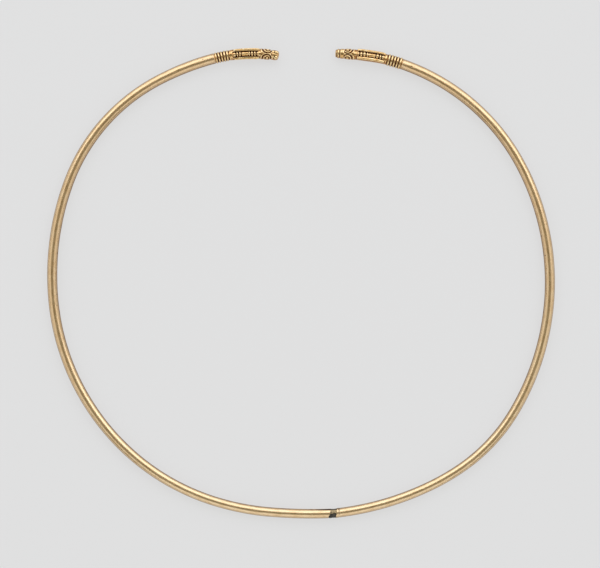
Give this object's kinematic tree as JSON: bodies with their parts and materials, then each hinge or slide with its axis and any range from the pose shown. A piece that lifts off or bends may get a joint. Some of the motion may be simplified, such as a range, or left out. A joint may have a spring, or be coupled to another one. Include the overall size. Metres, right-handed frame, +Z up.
{
  "type": "torc",
  "caption": "Slim gold neck ring lying flat: a hand-bent tube, broken and mended at the back, ending in ribbed and panelled terminals with animals' heads.",
  "frame": {"origin": "on the surface that the ring lies on, under the middle of the ring's outline", "axes": "+Z up, out of the chased side; +Y towards the opening between the two heads; +X towards the shorter arm, across the ring's width"},
  "size_m": [0.1902, 0.1762, 0.0038],
  "materials": {
    "gold_tube": "softly worn sheet gold, finely scratched along its length, with a few dark pits along the inner seam",
    "gold_cast": "worn cast gold, bright on the ribs and brown-black in the grooves",
    "mend_fill": "rough grey-brown fill, black along its outer corner"
  },
  "bodies": {
    "root": {"long_arm": "gold_tube", "short_arm": "gold_tube", "break_mend": "mend_fill", "left_terminal": "gold_cast", "right_terminal": "gold_cast"}
  },
  "joints": []
}
